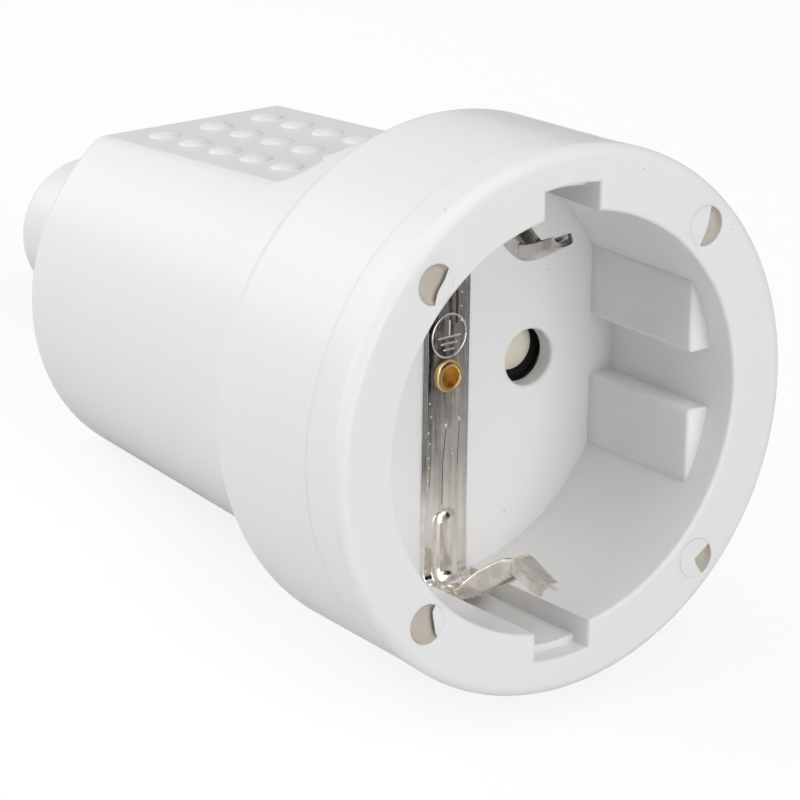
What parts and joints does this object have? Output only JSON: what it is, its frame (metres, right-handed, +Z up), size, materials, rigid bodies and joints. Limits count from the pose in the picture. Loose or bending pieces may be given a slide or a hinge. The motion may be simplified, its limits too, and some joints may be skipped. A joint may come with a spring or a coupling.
{
  "type": "inline socket connector",
  "caption": "White earthed inline socket with a round recess, side keys, spring earth clips, a rotary shutter, a ribbed tapered grip and a cable sleeve.",
  "frame": {"origin": "middle of the recess mouth, in the plane of the ring's front face", "axes": "+Z up, +Y towards the cable end; the connector lies on its shoulder and its tail, so its own axis slopes down 13.2 degrees from the ring to the cable end, and +X is to the right seen from the front"},
  "size_m": [0.051, 0.0839, 0.053],
  "materials": {
    "socket_front": "glossy white thermoplastic moulding",
    "grip_shell": "glossy white thermoplastic moulding",
    "cable_sleeve": "glossy white thermoplastic moulding",
    "earth_strap": "nickel-plated spring bronze strip, lightly scratched",
    "centre_rivet": "plain brass",
    "shutter": "ivory moulding",
    "shutter_spring": "spring steel strip",
    "contact_carrier": "off-white moulding",
    "line_contact": "turned brass",
    "neutral_contact": "turned brass",
    "line_contact_spring": "spring steel ring",
    "neutral_contact_spring": "spring steel ring",
    "line_terminal_screw": "zinc-plated steel",
    "neutral_terminal_screw": "zinc-plated steel",
    "earth_terminal": "brass",
    "earth_terminal_screw": "zinc-plated steel",
    "upper_carrier_screw": "zinc-plated steel",
    "lower_carrier_screw": "zinc-plated steel",
    "cord_clamp": "off-white moulding",
    "left_clamp_screw": "zinc-plated steel",
    "right_clamp_screw": "zinc-plated steel"
  },
  "bodies": {
    "housing": {"socket_front": "socket_front", "grip_shell": "grip_shell", "cable_sleeve": "cable_sleeve", "earth_strap": "earth_strap", "centre_rivet": "centre_rivet", "shutter_spring": "shutter_spring", "contact_carrier": "contact_carrier", "line_contact": "line_contact", "neutral_contact": "neutral_contact", "line_contact_spring": "line_contact_spring", "neutral_contact_spring": "neutral_contact_spring", "line_terminal_screw": "line_terminal_screw", "neutral_terminal_screw": "neutral_terminal_screw", "earth_terminal": "earth_terminal", "earth_terminal_screw": "earth_terminal_screw", "upper_carrier_screw": "upper_carrier_screw", "lower_carrier_screw": "lower_carrier_screw", "cord_clamp": "cord_clamp", "left_clamp_screw": "left_clamp_screw", "right_clamp_screw": "right_clamp_screw"},
    "shutter": {"shutter": "shutter"}
  },
  "joints": [
    {"name": "shutter_turn", "type": "hinge", "parent": "housing", "child": "shutter", "pos_m": [0, 0.02045, -0.00479], "axis": [0, -0.9736, 0.2283], "range_deg": [0, 35], "deforming": ["shutter_spring"]}
  ]
}
